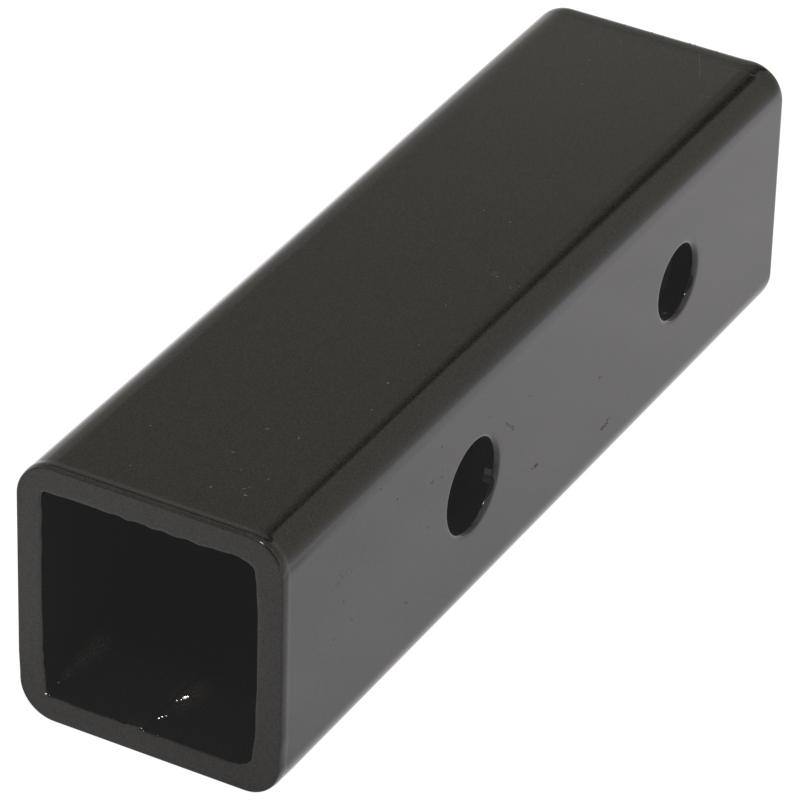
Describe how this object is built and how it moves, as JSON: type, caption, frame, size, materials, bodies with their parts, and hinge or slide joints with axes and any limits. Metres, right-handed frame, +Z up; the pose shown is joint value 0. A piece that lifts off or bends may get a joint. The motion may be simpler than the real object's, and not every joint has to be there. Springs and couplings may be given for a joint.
{
  "type": "hitch receiver adapter",
  "caption": "Square steel tube sleeve that slides into a hitch receiver, takes a smaller square shank in its bore and is pinned through cross-drilled side walls.",
  "frame": {"origin": "centre of the tube's length and width, on its underside", "axes": "+Y along the tube from the near open end to the far one, +X across it along the pin holes, +Z up, with the weld seam in the bottom wall"},
  "size_m": [0.0636, 0.226, 0.0635],
  "materials": {
    "black_paint": "semi-gloss black paint with a faint orange peel"
  },
  "bodies": {
    "root": {"receiver_tube": "black_paint"}
  },
  "joints": []
}
